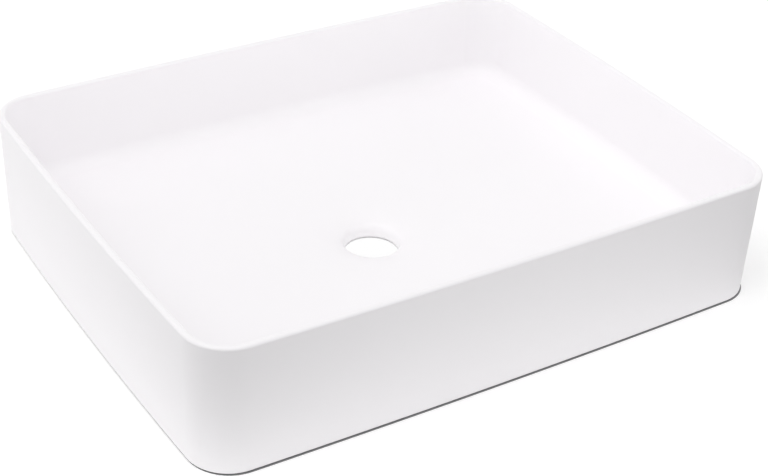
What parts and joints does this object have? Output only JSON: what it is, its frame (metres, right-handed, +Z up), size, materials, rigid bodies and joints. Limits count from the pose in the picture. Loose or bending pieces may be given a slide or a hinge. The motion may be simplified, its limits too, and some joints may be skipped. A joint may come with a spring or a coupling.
{
  "type": "countertop basin",
  "caption": "Rectangular white ceramic countertop basin with bowed sides, thin rounded rim, floor falling to an open drain hole, and non-slip pads under its foot.",
  "frame": {"origin": "on the counter top, under the middle of the basin, which is also the drain hole's axis", "axes": "+X along the long side, to the right seen from the front; +Y to the rear; +Z up"},
  "size_m": [0.4998, 0.3958, 0.1065],
  "materials": {
    "glazed_ceramic": "white satin glaze, ground and unglazed under the foot",
    "pad_rubber": "dull dark rubber"
  },
  "bodies": {
    "root": {"basin_body": "glazed_ceramic", "foot_pad_front_left": "pad_rubber", "foot_pad_front_right": "pad_rubber", "foot_pad_rear_left": "pad_rubber", "foot_pad_rear_right": "pad_rubber"}
  },
  "joints": []
}
